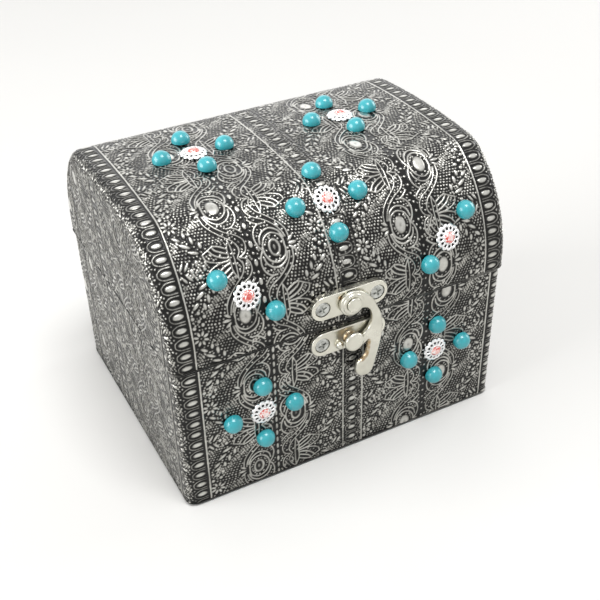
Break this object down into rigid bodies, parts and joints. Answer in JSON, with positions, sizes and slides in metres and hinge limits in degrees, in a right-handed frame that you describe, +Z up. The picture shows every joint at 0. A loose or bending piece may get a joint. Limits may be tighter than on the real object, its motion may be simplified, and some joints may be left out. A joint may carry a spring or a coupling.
{
  "type": "trinket chest",
  "caption": "Small domed-lid trinket chest covered in embossed sheet metal, with turquoise cabochons, pierced caps and a swing-hook latch; opens on rear hinges.",
  "frame": {"origin": "centre of the base's footprint, on the surface it stands on", "axes": "+X to the right along the front, -Y out of the front (the latch side), +Z up"},
  "size_m": [0.107, 0.0957, 0.0891],
  "materials": {
    "embossed_sheet": "embossed white metal, blackened in the hollows and polished on the relief",
    "board": "raw fibreboard",
    "velvet": "short-pile velvet",
    "felt": "felt",
    "nickel": "nickel plate, slightly warm with tarnish",
    "screw_steel": "bright plated steel",
    "turquoise": "polished, waxy gloss",
    "bright_cap": "bright stamped and pierced sheet",
    "pink_stone": "faceted and foiled"
  },
  "bodies": {
    "base": {"base_front_board": "board", "base_back_board": "board", "base_left_board": "board", "base_right_board": "board", "base_bottom_board": "board", "base_front_cover": "embossed_sheet", "base_back_cover": "embossed_sheet", "base_left_cover": "embossed_sheet", "base_right_cover": "embossed_sheet", "base_wall_lining": "velvet", "base_floor_pad": "velvet", "base_felt": "felt", "latch_lower_plate": "nickel", "latch_stud": "nickel", "latch_stop": "nickel", "latch_lower_screws": "screw_steel", "hinge_base_leaves": "nickel", "hinge_pins": "screw_steel", "hinge_base_nails": "screw_steel", "base_cabochons": "turquoise", "base_pierced_caps": "bright_cap", "base_rhinestones": "pink_stone"},
    "lid": {"lid_shell_board": "board", "lid_left_board": "board", "lid_right_board": "board", "lid_top_cover": "embossed_sheet", "lid_left_cover": "embossed_sheet", "lid_right_cover": "embossed_sheet", "lid_lining": "velvet", "lid_cabochons": "turquoise", "lid_pierced_caps": "bright_cap", "lid_rhinestones": "pink_stone", "latch_upper_plate": "nickel", "latch_rivet": "nickel", "latch_upper_screws": "screw_steel", "hinge_lid_leaves": "nickel", "hinge_lid_nails": "screw_steel"},
    "latch_hook": {"latch_hook": "nickel"}
  },
  "joints": [
    {"name": "lid_hinge", "type": "hinge", "parent": "base", "child": "lid", "pos_m": [0, 0.0457, 0.0489], "axis": [-1, 0, 0], "range_deg": [0, 105]},
    {"name": "hook_swing", "type": "hinge", "parent": "lid", "child": "latch_hook", "pos_m": [-0.0009, -0.0462, 0.0563], "axis": [0, -1, 0], "range_deg": [0, 60]}
  ]
}
